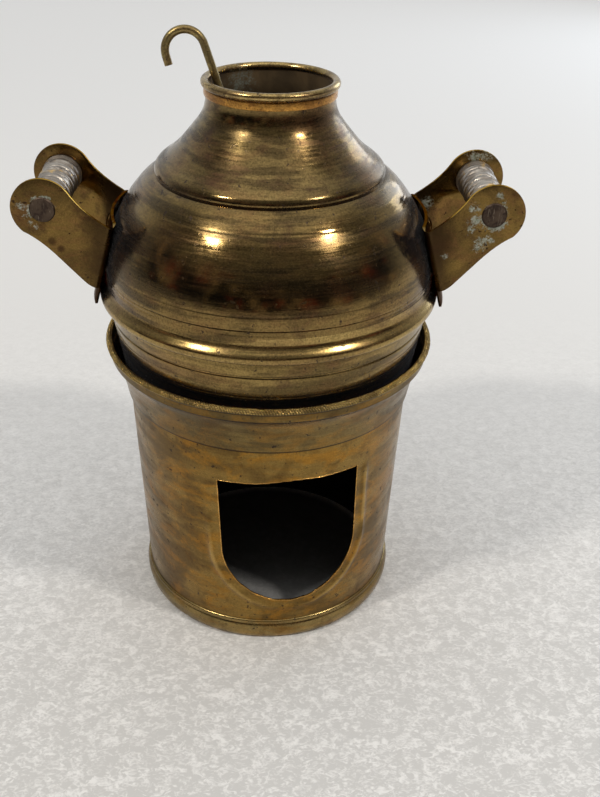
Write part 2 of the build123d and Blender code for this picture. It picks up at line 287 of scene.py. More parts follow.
def agedBrass(name, look):
    material, start = newMaterial(name)
    place, x, y, z, reach = turnedPlace(start)

    # lines left by turning: they run round the axis and change quickly along the outline
    outline = reach * look["lineAcross"] - z * look["lineDown"]
    around = start.join(x / reach * 2.5, y / reach * 2.5, outline * look["lineScale"])
    fineLines = start.noise(around, 1.0, 4.0, 0.75)
    wide = start.join(x / reach * 1.2, y / reach * 1.2, outline * look["broadScale"])
    broadLines = start.noise(wide, 1.0, 3.0, 0.6)

    # slow patches of tarnish, dark freckles and faint scratches
    patches = start.noise(place, look["patchScale"], 5.0, 0.62, 0.8)
    clouds = start.noise(place, look["patchScale"] * 3.1, 4.0, 0.6, 0.4)
    grit = start.noise(place, look["gritScale"], 2.0, 0.6)
    freckles = start.noise(place, look["freckleScale"], 2.0, 0.6).smooth(0.66, 0.72)
    blots = start.noise(place, look["blotScale"], 3.0, 0.65, 0.3).smooth(0.68, 0.76)
    sparkle = start.noise(place, look["sparkleScale"], 2.0, 0.7)
    scratchPlace = start.vector("MULTIPLY", place, look["scratchScale"])
    scratches = start.noise(scratchPlace, 1.0, 2.0, 0.8, 1.6).smooth(0.655, 0.70)

    dull = (patches + (broadLines - 0.5) * (look["lineTone"] * 1.5)).smooth(0.36, 0.66)
    body = start.mixTone(dull, tone(*look["bright"]), tone(*look["dull"]))
    brown = (clouds + (fineLines - 0.5) * 0.35).smooth(0.50, 0.74) * look["brownAmount"]
    body = start.mixTone(brown, body, tone(*look["brown"]))
    streak = start.vector("MULTIPLY", place, (1.0, 1.0, look["streak"]))
    warm = start.noise(streak, look["patchScale"] * 1.4, 5.0, 0.7, 0.6).smooth(0.45, 0.64)
    body = start.mixTone(warm * look["warmAmount"], body, tone(*look["warm"]))
    lineShade = 1 + (fineLines - 0.5) * look["lineTone"] + (sparkle - 0.5) * look["grainTone"]
    body = start.vector("MULTIPLY", body, start.join(lineShade, lineShade, lineShade))
    dark = start.math("MAXIMUM", freckles * 0.75, blots * look["blotAmount"])
    body = start.mixTone(dark, body, tone(*look["fleck"]))
    body = start.mixTone(scratches * look["scratchAmount"], body, tone(*look["bright"]))

    # painted shade: darker lines along the turned creases
    for at, half in look.get("creases", ()):
        crease = 1 - start.math("ABSOLUTE", z - at).smooth(half * 0.35, half)
        body = start.mixTone(crease * look["creaseShadeAmount"], body, tone(*look["fleck"]))

    rough = look["rough"] + dull * look["roughSpread"] + brown * 0.14
    rough = rough + (fineLines - 0.5) * look["lineRough"] + (grit - 0.5) * look["gritRough"] + dark * 0.25
    metal = 1 - dark * 0.3

    if "cutEdge" in look:  # bare metal along the cut edges
        edge = start.mark("cutEdge").smooth(0.4, 0.6)
        worn = edge * start.noise(place, 150.0, 3.0, 0.6).smooth(0.3, 0.5)
        body = start.mixTone(worn, body, tone(*look["cutEdge"]))
        rough = rough * (1 - worn * 0.4)

    if "ridge" in look:  # the raised ridge, with a painted highlight along it
        crest = start.mark("ridge").smooth(0.35, 0.95) * start.noise(place, 95.0, 3.0, 0.6).smooth(0.30, 0.55)
        body = start.mixTone(crest * 0.5, body, tone(*look["ridge"]))

    if "inner" in look:  # inner faces: dull oxide inside the neck, darker painted shade on the rim's core, near black inside the stand as painted shade for the dark candle chamber
        inner = start.mark("inside").smooth(0.4, 0.6)
        cloud = start.noise(place, 90.0, 4.0, 0.6, 0.5).smooth(0.35, 0.7)
        oxide = start.mixTone(cloud, tone(*look["inner"]), tone(*look["innerDark"]))
        body = start.mixTone(inner, body, oxide)
        rough = rough * (1 - inner) + inner * look["innerRough"]
        metal = metal * (1 - inner * look["innerDull"])

    for centre, radius in look.get("stains", ()):  # round brown stains
        stain = spot(start, place, centre, radius, radius * 0.55)
        body = start.mixTone(stain * 0.75, body, tone(*look["stain"]))

    if "rootShadeReach" in look:  # painted shade, dark on the back plate and where the sheet meets the body
        ragged = start.noise(place, 130.0, 4.0, 0.65, 0.5) - 0.5
        root = 1 - (start.math("ABSOLUTE", x) + ragged * 0.008).smooth(*look["rootShadeReach"])
        body = start.mixTone(root * look["rootShadeAmount"], body, tone(*look["rootShadeTone"]))
        rough = rough + root * 0.12

    if "bloomSpots" in look:
        bloom, powder = bloomMask(start, place, x, z, look)
        bloomTone = start.mixTone(powder.smooth(0.35, 0.65), tone(*look["bloom"]), tone(*look["bloomPale"]))
        body = start.mixTone(bloom, body, bloomTone)
        rough = rough + bloom * 0.4
        metal = metal * (1 - bloom * 0.85)

    height = fineLines * look["lineDepth"] + grit * 0.35 + sparkle * 0.25 + broadLines * 0.25 - dark * 0.6
    bumpInputs = {"Strength": look["bump"], "Distance": look["bumpDepth"], "Height": height}
    finishMaterial(start, start.add("ShaderNodeBsdfPrincipled", None, {
        "Base Color": body,
        "Metallic": metal,
        "Roughness": limited(start, rough, 0.08, 0.95),
        "Normal": start.add("ShaderNodeBump", None, bumpInputs),
        "Sheen Weight": look["sheen"],
        "Sheen Roughness": 0.45,
        "Sheen Tint": tone(0.80, 0.80, 0.84),
        "Specular Tint": tone(*look["edgeTint"]),
    }))
    return material


def simpleMetal(name, look):
    # iron, grey cast metal and other pieces without turned lines
    material, start = newMaterial(name)
    place = start.add("ShaderNodeTexCoord", output="Object")
    patches = start.noise(place, look["patchScale"], 5.0, 0.6, 0.6).smooth(0.38, 0.64)
    grit = start.noise(place, 900.0, 3.0, 0.65)
    pits = start.noise(place, 420.0, 2.0, 0.6).smooth(0.62, 0.70)
    scratchPlace = start.vector("MULTIPLY", place, look["scratchScale"])
    scratches = start.noise(scratchPlace, 1.0, 2.0, 0.8, 2.0).smooth(0.63, 0.69)
    glint = start.noise(place, 240.0, 2.0, 0.6, 0.5).smooth(0.58, 0.68) * look["glintAmount"]
    body = start.mixTone(patches, tone(*look["light"]), tone(*look["dark"]))
    body = start.mixTone(glint, body, tone(*look["glint"]))
    body = start.mixTone(pits * 0.6, body, tone(*look["pit"]))
    body = start.mixTone(scratches * look["scratchAmount"], body, tone(*look["scratch"]))
    rough = look["rough"] + patches * 0.12 + (grit - 0.5) * 0.25 - scratches * 0.12 + pits * 0.15
    if "hollow" in look:  # painted shade between the ribs
        hollow = start.mark("hollow").smooth(0.30, 0.95)
        body = start.mixTone(hollow * 0.9, body, tone(*look["hollow"]))
        rough = rough + hollow * 0.3
    height = grit * 0.8 - pits * 0.8 - scratches * 0.3
    bumpInputs = {"Strength": look["bump"], "Distance": look["bumpDepth"], "Height": height}
    finishMaterial(start, start.add("ShaderNodeBsdfPrincipled", None, {
        "Base Color": body,
        "Metallic": look["metal"],
        "Roughness": limited(start, rough, 0.1, 0.95),
        "Normal": start.add("ShaderNodeBump", None, bumpInputs),
    }))
    return material


# materials

brassLook = {
    "bright": (0.225, 0.150, 0.054),
    "dull": (0.105, 0.072, 0.030),
    "brown": (0.055, 0.026, 0.019),
    "warm": (0.20, 0.085, 0.04),
    "fleck": (0.016, 0.008, 0.010),
    "lineAcross": 0.9,  # how the turned lines follow the outline: outwards and downwards
    "lineDown": 1.0,
    "lineScale": 900,
    "broadScale": 190,
    "gritScale": 1500.0,
    "freckleScale": 520.0,
    "blotScale": 170.0,
    "sparkleScale": 1900.0,
    "scratchScale": (260.0, 900.0, 60.0),
    "lineTone": 1.45,
    "lineDepth": 0.6,
    "lineRough": 0.3,
    "grainTone": 1.8,
    "creaseShadeAmount": 0.75,
    "patchScale": 34.0,
    "streak": 2.2,      # how much shorter the warm patches are than they are wide
    "brownAmount": 0.55,
    "warmAmount": 0.25,
    "blotAmount": 0.45,
    "scratchAmount": 0.35,
    "rough": 0.13,
    "roughSpread": 0.12,
    "gritRough": 0.12,
    "bump": 0.27,
    "bumpDepth": 0.00006,
    "edgeTint": (1.0, 1.0, 1.0),
    "bloom": (0.24, 0.33, 0.26),
    "bloomPale": (0.42, 0.47, 0.40),
    "bloomAmount": 0.9,
    "sheen": 0.09,
}
tubeLook = brassLook | {
    "creases": [(0.0752, 0.0005)],
    # near black inner face: painted shade for the dark candle chamber
    "inner": (0.012, 0.011, 0.010),
    "innerDark": (0.004, 0.004, 0.004),
    "innerRough": 0.85,
    "innerDull": 0.8,
    "bright": (0.285, 0.178, 0.050),
    "dull": (0.155, 0.094, 0.029),
    "brown": (0.085, 0.041, 0.013),
    "warm": (0.41, 0.19, 0.024),
    "ridge": (0.62, 0.42, 0.15),
    "warmAmount": 0.62,
    "brownAmount": 0.5,
    "patchScale": 52.0,
    "lineTone": 0.5,
    "grainTone": 0.8,
    "lineDepth": 0.4,
    "rough": 0.26,
    "sheen": 0.02,
}
neckLook = brassLook | {
    "inner": (0.21, 0.145, 0.075),
    "innerDark": (0.09, 0.064, 0.036),
    "innerRough": 0.5,
    "innerDull": 0.55,
    "bright": (0.215, 0.148, 0.056),
    "brownAmount": 0.6,
    "rough": 0.16,
    "bloomSpots": [((-0.009, 0.0155, 0.1655), 0.0062), ((-0.0165, 0.006, 0.163), 0.003)],
    "bloom": (0.17, 0.20, 0.16),
    "bloomPale": (0.26, 0.29, 0.25),
    "bloomAmount": 0.8,
}
copperLook = brassLook | {
    "bright": (0.50, 0.25, 0.055),
    "dull": (0.32, 0.15, 0.038),
    "brown": (0.09, 0.035, 0.014),
    "warm": (0.45, 0.27, 0.08),
    "patchScale": 95.0,
    "rough": 0.22,
}
handleLook = brassLook | {
    "bright": (0.225, 0.142, 0.041),
    "dull": (0.125, 0.078, 0.026),
    "warmAmount": 0.35,
    "grainTone": 1.1,
    "cutEdge": (0.92, 0.62, 0.20),
    "lineTone": 0.06,
    "lineDepth": 0.1,
    "patchScale": 60.0,
    "stain": (0.05, 0.024, 0.012),
    "stains": [((-0.0613, -0.0163, 0.1278), 0.0011), ((-0.0590, -0.0163, 0.1255), 0.0010)],
    # painted shade over the back plate and where the sheet meets the body
    "rootShadeReach": (0.0485, 0.0545),
    "rootShadeAmount": 0.8,
    "edgeTint": (0.22, 0.15, 0.08),
    "rootShadeTone": (0.045, 0.026, 0.013),
    "sheen": 0.0,
    "bloom": (0.27, 0.33, 0.27),
    "bloomPale": (0.46, 0.48, 0.42),
    "bloomAmount": 0.9,
    "bloomRings": [(0.063, 0.137, 0.0036, 0.0062), (-0.063, 0.137, 0.0036, 0.0054)],
    "bloomSpots": [
        ((0.0572, -0.0163, 0.1390), 0.0024),
        ((0.0578, -0.0163, 0.1357), 0.0028),
        ((0.0567, -0.0163, 0.1330), 0.0020),
        ((0.0598, -0.0163, 0.1282), 0.0027),
        ((0.0622, -0.0163, 0.1296), 0.0023),
        ((0.0640, -0.0163, 0.1428), 0.0014),
        ((0.0502, -0.0163, 0.1248), 0.0014),
        ((0.0622, 0.0163, 0.1436), 0.0034),
        ((0.0655, 0.0163, 0.1440), 0.0032),
        ((0.0485, 0.0158, 0.1290), 0.0030),
        ((-0.0686, -0.0163, 0.1378), 0.0016),
        ((-0.0680, -0.0163, 0.1350), 0.0011),
        ((-0.0667, -0.0163, 0.1332), 0.0011),
        ((-0.0652, -0.0163, 0.1320), 0.0010),
    ],
}
wireLook = brassLook | {
    "bright": (0.32, 0.245, 0.10),
    "dull": (0.20, 0.155, 0.07),
    "lineTone": 0.05,
    "lineDepth": 0.0,
    "patchScale": 150.0,
    "rough": 0.36,
    "brownAmount": 0.4,
}
ironLook = {
    "light": (0.10, 0.07, 0.05),
    "dark": (0.045, 0.03, 0.024),
    "glint": (0.22, 0.17, 0.12),
    "pit": (0.02, 0.014, 0.012),
    "scratch": (0.3, 0.24, 0.18),
    "glintAmount": 0.3,
    "scratchAmount": 0.5,
    "scratchScale": (1500.0, 200.0, 180.0),
    "patchScale": 240.0,
    "rough": 0.42,
    "bump": 0.5,
    "bumpDepth": 0.0001,
    "metal": 0.9,
}
gripLook = ironLook | {
    "light": (0.50, 0.45, 0.39),
    "dark": (0.27, 0.232, 0.195),
    "glint": (0.75, 0.50, 0.18),
    "pit": (0.06, 0.042, 0.032),
    "scratch": (0.6, 0.55, 0.47),
    "hollow": (0.035, 0.024, 0.018),
    "patchScale": 170.0,
    "glintAmount": 0.7,
    "scratchAmount": 0.4,
    "rough": 0.33,
    "metal": 1.0,
}

agedBrassSkin = agedBrass("aged brass", brassLook)
tubeBrassSkin = agedBrass("warm brass", tubeLook)
neckBrassSkin = agedBrass("neck brass", neckLook)
copperSkin = agedBrass("copper band", copperLook)
handleBrassSkin = agedBrass("handle brass", handleLook)
wireBrassSkin = agedBrass("wire brass", wireLook)
ironSkin = simpleMetal("dark iron", ironLook)
gripSkin = simpleMetal("grip metal", gripLook)
print("materials written")


def dress(piece, skin, body, slotName, *nodes):
    # puts a material on a piece and hands it to its body
    piece.data.materials.clear()
    piece.data.materials.append(skin)
    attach(piece, body)
    if nodes:
        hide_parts(*nodes)
    return piece


# geometry nodes


def newTree(name, sizes):
    # a node group with a geometry input and output and named number inputs
    tree = bpy.data.node_groups.new(name, "GeometryNodeTree")
    tree.interface.new_socket("Geometry", in_out="INPUT", socket_type="NodeSocketGeometry")
    for label, kind in sizes:
        tree.interface.new_socket(label, in_out="INPUT", socket_type=kind)
    tree.interface.new_socket("Geometry", in_out="OUTPUT", socket_type="NodeSocketGeometry")
    return tree


def nodeIn(tree, kind, settings=None, inputs=None):
    # adds a node: settings first, then values or links from other sockets
    node = tree.nodes.new(kind)
    for name, value in (settings or {}).items():
        setattr(node, name, value)
    for name, value in (inputs or {}).items():
        if isinstance(value, bpy.types.NodeSocket):
            tree.links.new(value, node.inputs[name])
        else:
            node.inputs[name].default_value = value
    return node


def finishTree(tree, given, geometry):
    # real geometry in the asked material, as the tree's result
    real = nodeIn(tree, "GeometryNodeRealizeInstances", None, {"Geometry": geometry})
    painted = nodeIn(tree, "GeometryNodeSetMaterial", None, {
        "Geometry": real.outputs[0], "Material": given.outputs["Material"]})
    done = tree.nodes.new("NodeGroupOutput")
    tree.links.new(painted.outputs[0], done.inputs[0])
    return tree


def grown(name, source, tree, values):
    # runs a node group on a source piece and keeps the result as a plain mesh
    modifier = source.modifiers.new("grow", "NODES")
    modifier.node_group = tree
    sockets = {item.name: item.identifier for item in tree.interface.items_tree if item.in_out == "INPUT"}
    for label, value in values.items():
        modifier[sockets[label]] = value
    source.update_tag()
    graph = bpy.context.evaluated_depsgraph_get()
    mesh = bpy.data.meshes.new_from_object(source.evaluated_get(graph))
    mesh.name = name
    piece = bpy.data.objects.new(name, mesh)
    bpy.context.scene.collection.objects.link(piece)
    bpy.data.objects.remove(source)
    return piece


def pointCloud(name, points, normals=None):
    # loose points in metres, each with the way it faces
    mesh = bpy.data.meshes.new(name)
    mesh.from_pydata([tuple(point) for point in points], [], [])
    if normals is not None:
        attribute = mesh.attributes.new("facing", "FLOAT_VECTOR", "POINT")
        attribute.data.foreach_set("vector", [value for normal in normals for value in normal])
    piece = bpy.data.objects.new(name, mesh)
    bpy.context.scene.collection.objects.link(piece)
    return piece


def pathPiece(name, points, closed=False):
    # a path in metres for a wire to follow
    curve = bpy.data.curves.new(name, "CURVE")
    curve.dimensions = "3D"
    spline = curve.splines.new("POLY")
    spline.points.add(len(points) - 1)
    for place, point in zip(spline.points, points):
        place.co = (*point, 1)
    spline.use_cyclic_u = closed
    piece = bpy.data.objects.new(name, curve)
    bpy.context.scene.collection.objects.link(piece)
    return piece


def wireTree():
    # sweeps a round section along a path, with slight hand-made unevenness
    tree = newTree("round wire", [("Radius", "NodeSocketFloat"), ("Unevenness", "NodeSocketFloat"),
                                  ("Material", "NodeSocketMaterial")])
    given = tree.nodes.new("NodeGroupInput")
    circle = nodeIn(tree, "GeometryNodeCurvePrimitiveCircle", None, {
        "Resolution": 20, "Radius": given.outputs["Radius"]})
    swept = nodeIn(tree, "GeometryNodeCurveToMesh", None, {
        "Curve": given.outputs["Geometry"], "Profile Curve": circle.outputs["Curve"], "Fill Caps": True})
    noise = nodeIn(tree, "ShaderNodeTexNoise", None, {"Scale": 210.0, "Detail": 2.0})
    centred = nodeIn(tree, "ShaderNodeMath", {"operation": "SUBTRACT"}, {0: noise.outputs["Fac"], 1: 0.5})
    sized = nodeIn(tree, "ShaderNodeMath", {"operation": "MULTIPLY"}, {
        0: centred.outputs[0], 1: given.outputs["Unevenness"]})
    facing = tree.nodes.new("GeometryNodeInputNormal")
    push = nodeIn(tree, "ShaderNodeVectorMath", {"operation": "SCALE"}, {
        0: facing.outputs[0], "Scale": sized.outputs[0]})
    moved = nodeIn(tree, "GeometryNodeSetPosition", None, {
        "Geometry": swept.outputs["Mesh"], "Offset": push.outputs[0]})
    return finishTree(tree, given, moved.outputs[0])


def grainTree():
    # small slanted grains round a roll, in rows
    tree = newTree("knurled grains", [("Count", "NodeSocketInt"), ("Ring Radius", "NodeSocketFloat"),
                                      ("Length", "NodeSocketFloat"), ("Width", "NodeSocketFloat"),
                                      ("Slant", "NodeSocketFloat"), ("Tilt", "NodeSocketFloat"),
                                      ("Height", "NodeSocketFloat"), ("Unevenness", "NodeSocketFloat"),
                                      ("Seed", "NodeSocketInt"), ("Material", "NodeSocketMaterial")])
    given = tree.nodes.new("NodeGroupInput")
    ring = nodeIn(tree, "GeometryNodeMeshCircle", None, {
        "Vertices": given.outputs["Count"], "Radius": given.outputs["Ring Radius"]})
    grain = nodeIn(tree, "GeometryNodeMeshUVSphere", None, {"Segments": 8, "Rings": 5, "Radius": 1.0})
    outward = nodeIn(tree, "GeometryNodeInputPosition")
    aim = nodeIn(tree, "FunctionNodeAlignRotationToVector", {"axis": "X", "pivot_axis": "Z"}, {
        "Vector": outward.outputs[0]})
    tilt = nodeIn(tree, "FunctionNodeRotateRotation", {"rotation_space": "LOCAL"}, {
        "Rotation": aim.outputs[0]})
    tiltAngle = nodeIn(tree, "ShaderNodeCombineXYZ", None, {
        "X": given.outputs["Slant"], "Y": given.outputs["Tilt"]})
    euler = nodeIn(tree, "FunctionNodeEulerToRotation", None, {0: tiltAngle.outputs[0]})
    tree.links.new(euler.outputs[0], tilt.inputs["Rotate By"])
    uneven = nodeIn(tree, "FunctionNodeRandomValue", {"data_type": "FLOAT"}, {"Seed": given.outputs["Seed"]})
    spread = nodeIn(tree, "ShaderNodeMath", {"operation": "MULTIPLY_ADD"}, {
        0: uneven.outputs["Value"], 1: given.outputs["Unevenness"], 2: 1.0})
    size = nodeIn(tree, "ShaderNodeCombineXYZ", None, {
        "X": given.outputs["Width"], "Y": given.outputs["Width"], "Z": given.outputs["Length"]})
    scaled = nodeIn(tree, "ShaderNodeVectorMath", {"operation": "SCALE"}, {
        0: size.outputs[0], "Scale": spread.outputs[0]})
    placed = nodeIn(tree, "GeometryNodeInstanceOnPoints", None, {
        "Points": ring.outputs[0], "Instance": grain.outputs["Mesh"],
        "Rotation": tilt.outputs[0], "Scale": scaled.outputs[0]})
    lift = nodeIn(tree, "ShaderNodeCombineXYZ", None, {"Z": given.outputs["Height"]})
    lifted = nodeIn(tree, "GeometryNodeTransform", None, {
        "Geometry": placed.outputs[0], "Translation": lift.outputs[0]})
    return finishTree(tree, given, lifted.outputs[0])


def studTree():
    # one domed stud for each point, facing the way the point does
    tree = newTree("domed studs", [("Radius", "NodeSocketFloat"), ("Rise", "NodeSocketFloat"),
                                   ("Material", "NodeSocketMaterial")])
    given = tree.nodes.new("NodeGroupInput")
    ball = nodeIn(tree, "GeometryNodeMeshUVSphere", None, {"Segments": 28, "Rings": 14, "Radius": 1.0})
    settings = {"data_type": "FLOAT_VECTOR"}
    facing = nodeIn(tree, "GeometryNodeInputNamedAttribute", settings, {"Name": "facing"})
    aim = nodeIn(tree, "FunctionNodeAlignRotationToVector", {"axis": "Z"}, {"Vector": facing.outputs[0]})
    size = nodeIn(tree, "ShaderNodeCombineXYZ", None, {
        "X": given.outputs["Radius"], "Y": given.outputs["Radius"], "Z": given.outputs["Rise"]})
    placed = nodeIn(tree, "GeometryNodeInstanceOnPoints", None, {
        "Points": given.outputs["Geometry"], "Instance": ball.outputs["Mesh"],
        "Rotation": aim.outputs[0], "Scale": size.outputs[0]})
    return finishTree(tree, given, placed.outputs[0])


# stand

tubeSizes = {
    "footRadius": 41.5,
    "topRadius": 44.4,
    "height": 77.2,
    "wall": 0.8,
    "wobble": 0.12,
    "doorTurn": 9.3,
    "doorTop": [(-21.7, 63.2), (-16.5, 63.5), (-11.0, 63.7), (-6.0, 64.2), (-1.2, 64.65), (3.8, 64.7),
                (9.0, 64.4), (14.4, 64.35), (21.0, 64.2)],
    "doorArchRadius": 21.1,
    "doorArchShift": 0.4,
    "doorBottom": 15.9,
    "ridgeAway": 3.0,
    "ridgeWidth": 0.85,
    "ridgeRise": 0.6,
    "ridgeReach": 0.85,         # radians either side of the door
    "burrRadius": 0.16,
    "burrUnevenness": 0.16,
    "cutterDepths": (25, 60),   # from the axis
}


def doorOutline(count):
    # points across and up round the door, starting at the top left corner
    sizes = tubeSizes
    archRadius, shift = sizes["doorArchRadius"], sizes["doorArchShift"]
    archHeight = sizes["doorBottom"] + archRadius
    top = [(r, z) for r, z, hr, hz in smoothRun(sizes["doorTop"], 45.0 / count)]
    points = []
    for index, (across, up) in enumerate(top):
        fade = math.sin(math.pi * index / (len(top) - 1))
        points.append((across, up + 0.09 * fade * math.sin(across * 1.9)))
    rightCorner, leftCorner = top[-1], top[0]
    sideCount = count // 2
    for index in range(1, sideCount):
        part = index / sideCount
        points.append((rightCorner[0] + (shift + archRadius - rightCorner[0]) * part,
                       rightCorner[1] + (archHeight - rightCorner[1]) * part))
    for index in range(2 * count + 1):
        angle = math.pi * index / (2 * count)
        reach = archRadius + 0.1 * math.sin(angle * 21.0 + 0.5) * math.sin(angle)
        points.append((shift + reach * math.cos(angle), archHeight - reach * math.sin(angle)))
    for index in range(1, sideCount):
        part = index / sideCount
        points.append((shift - archRadius + (leftCorner[0] - shift + archRadius) * part,
                       archHeight + (leftCorner[1] - archHeight) * part))
    return points


def awayFrom(outline, across, up):
    # distance from a point to the nearest stretch of an outline
    best = 1e9
    for (ax, az), (bx, bz) in zip(outline, outline[1:] + outline[:1]):
        dx, dz = bx - ax, bz - az
        part = max(0.0, min(1.0, ((across - ax) * dx + (up - az) * dz) / (dx * dx + dz * dz)))
        best = min(best, math.hypot(across - ax - dx * part, up - az - dz * part))
    return best


def tubeReach(height):
    sizes = tubeSizes
    return sizes["footRadius"] + (sizes["topRadius"] - sizes["footRadius"]) * height / sizes["height"]


def makeStandTube():
    sizes = tubeSizes
    turn = math.radians(sizes["doorTurn"])
    coarse = doorOutline(20)
    slow = handWobble(sizes["wobble"], 1.3)

    def crest(angle, z):
        # pressed ridge that runs round the door, a few millimetres outside it
        local = (angle - turn + math.pi) % (2 * math.pi) - math.pi
        if abs(local) > sizes["ridgeReach"]:
            return 0.0
        across = tubeReach(z) * math.sin(local)
        away = awayFrom(coarse, across, z)
        fade = (64.5 - z) / 4 if across > 0 else (52 - z) / 14
        fade = max(0.0, min(1.0, fade)) * (0.4 + 0.6 * min(1, abs(across) / 15))
        return fade * math.exp(-((away - sizes["ridgeAway"]) / sizes["ridgeWidth"]) ** 2)

    def relief(angle, z):
        fade = math.sin(math.pi * min(1, max(0, z / sizes["height"])))
        return slow(angle, z) * fade + sizes["ridgeRise"] * crest(angle, z)

    run = lineRun([(sizes["footRadius"], 0), (sizes["topRadius"], sizes["height"])], 0.8)
    tube = turnedPiece("standTube", wallLoop(run, -sizes["wall"], 6), 360, relief, len(run))
    cutter = newPiece("doorCutter", lambda work: fillCutter(work, turn))
    knife = tube.modifiers.new("door", "BOOLEAN")
    knife.operation = "DIFFERENCE"
    knife.solver = "EXACT"
    knife.object = cutter
    graph = bpy.context.evaluated_depsgraph_get()
    tube.data = bpy.data.meshes.new_from_object(tube.evaluated_get(graph))
    tube.modifiers.clear()
    bpy.data.objects.remove(cutter)
    worn = tube.data.attributes.new("ridge", "FLOAT", "POINT")
    for index, corner in enumerate(tube.data.vertices):
        x, y, z = corner.co
        worn.data[index].value = crest(math.atan2(x, -y), z / mm)
    hardEdges(tube)
    return dress(tube, tubeBrassSkin, "stand", "warm_brass", "stand_tube")


def fillCutter(work, turn):
    points = doorOutline(48)
    spin = Matrix.Rotation(turn, 3, "Z")
    near, far = [
        [work.verts.new(spin @ Vector((x, -depth, z)) * mm) for x, z in points]
        for depth in tubeSizes["cutterDepths"]
    ]
    work.faces.new(near)
    work.faces.new(far[::-1])
    for index in range(len(points)):
        after = (index + 1) % len(points)
        work.faces.new((near[index], far[index], far[after], near[after]))


def makeDoorEdge(tree):
    # thin turned-over burr that follows the door's outline on the tube's face
    sizes = tubeSizes
    turn = math.radians(sizes["doorTurn"])
    points = []
    for across, up in doorOutline(48):
        reach = tubeReach(up) - 0.06
        angle = math.asin(across / reach) + turn
        points.append((reach * math.sin(angle) * mm, -reach * math.cos(angle) * mm, up * mm))
    path = pathPiece("doorPath", points, True)
    values = {
        "Radius": sizes["burrRadius"] * mm,
        "Unevenness": sizes["burrUnevenness"] * mm,
        "Material": edgeBrassSkin,
    }
    edge = grown("doorEdge", path, tree, values)
    edge.data.shade_smooth()
    return dress(edge, edgeBrassSkin, "stand", "warm_brass")


def ringLoop(r, z, radius, count):
    turns = [2 * math.pi * index / count for index in range(count)]
    return [(r + radius * math.cos(turn), z + radius * math.sin(turn)) for turn in turns]


def smoothRun(points, step):
    # flowing line through a few points
    padded = [points[0]] + list(points) + [points[-1]]
    run = []
    for p0, p1, p2, p3 in zip(padded, padded[1:], padded[2:], padded[3:]):
        count = max(2, math.ceil(math.hypot(p2[0] - p1[0], p2[1] - p1[1]) / step))
        for index in range(count):
            t = index / count
            place = [
                0.5 * (2 * b + (c - a) * t + (2 * a - 5 * b + 4 * c - d) * t ** 2
                       + (3 * b - a - 3 * c + d) * t ** 3)
                for a, b, c, d in zip(p0, p1, p2, p3)
            ]
            run.append(tuple(place))
    run.append(tuple(points[-1]))
    headed = []
    for index, place in enumerate(run):
        before, after = run[max(0, index - 1)], run[min(len(run) - 1, index + 1)]
        length = math.hypot(after[0] - before[0], after[1] - before[1]) or 1
        headed.append((*place, (after[0] - before[0]) / length, (after[1] - before[1]) / length))
    return headed


footSizes = {
    "innerRadius": 41.5,
    "round": [(41.74, 0.0), (42.2, 0.7), (42.62, 1.8), (42.8, 3.1), (42.85, 4.1), (42.72, 5.0), (42.42, 5.75),
              (42.25, 6.05), (42.3, 6.35), (42.38, 6.7), (42.3, 7.05), (42.05, 7.3), (41.8, 7.4)],
    "wobble": 0.08,
}


def makeFootRing():
    run = smoothRun(footSizes["round"], 0.22)
    loop = [(footSizes["innerRadius"], 0.0)] + [(r, z) for r, z, hr, hz in run]
    ring = turnedPiece("footRing", loop, 360, handWobble(footSizes["wobble"], 4.4))
    return dress(ring, footBrassSkin, "stand", "warm_brass", "foot_ring")


collarSizes = {
    "lap": [(44.33, 75.4), (44.8, 75.4)],
    "flare": [(45.12, 75.55), (45.2, 75.9), (45.75, 79.0), (46.5, 82.2), (47.6, 85.6),
              (48.75, 87.7), (49.1, 88.1)],
    "band": [(49.7, 88.8), (49.7, 91.5)],
    "inside": [(48.9, 91.5), (48.9, 89.3), (48.4, 88.8), (45.21, 78.0)],
    "ledge": [(41.5, 78.0), (41.5, 77.2), (44.4, 77.2)],
    "wobble": 0.06,
}


def makeCollar():
    sizes = collarSizes
    flare = smoothRun(sizes["flare"], 0.3)
    face = lineRun([sizes["lap"][1], flare[0][:2]], 0.2) + flare + lineRun(sizes["band"], 0.3)
    loop = [sizes["lap"][0]] + [(r, z) for r, z, hr, hz in face] + sizes["inside"] + sizes["ledge"]
    collar = turnedPiece("standCollar", loop, 320, handWobble(sizes["wobble"], 2.2))
    return dress(collar, collarBrassSkin, "stand", "warm_brass", "stand_collar")


rimSizes = {
    "ringRadius": 49.7,
    "height": 92.1,
    "rollRadius": 0.88,
    "grainCount": 400,
    "grainRows": [(10.0, 1.0), (48.0, 1.0), (86.0, 1.0), (122.0, 0.95)],  # degrees up the roll, share of size
    "grainSink": 0.04,
    "grainUnevenness": 0.25,
    "grainLength": 0.38,
    "grainWidth": 0.28,
    "slant": 33.0,
    "seed": 7,
}


def makeRim(tree):
    sizes = rimSizes
    roll = ringLoop(sizes["ringRadius"], sizes["height"], sizes["rollRadius"], 20)
    core = turnedPiece("rimCore", roll, 320, None, 0)
    rows = []
    for row, (degrees, share) in enumerate(sizes["grainRows"]):
        angle = math.radians(degrees)
        seat = sizes["rollRadius"] - sizes["grainSink"]
        source = pointCloud("grainSeed", [(0, 0, 0)])
        values = {
            "Count": sizes["grainCount"],
            "Ring Radius": (sizes["ringRadius"] + seat * math.cos(angle)) * mm,
            "Length": sizes["grainLength"] * share * mm,
            "Width": sizes["grainWidth"] * share * mm,
            "Slant": math.radians(sizes["slant"]),
            "Tilt": -angle,
            "Height": (sizes["height"] + seat * math.sin(angle)) * mm,
            "Unevenness": sizes["grainUnevenness"],
            "Seed": sizes["seed"] + row,
            "Material": rimBrassSkin,
        }
        grains = grown("grains", source, tree, values)
        grains.data.transform(Matrix.Rotation(row * math.pi / sizes["grainCount"], 4, "Z"))
        rows.append(grains)
    rim = joined("rimRoll", [core] + rows)
    rim.data.shade_smooth()
    return dress(rim, rimBrassSkin, "stand", "warm_brass", "collar_rim")


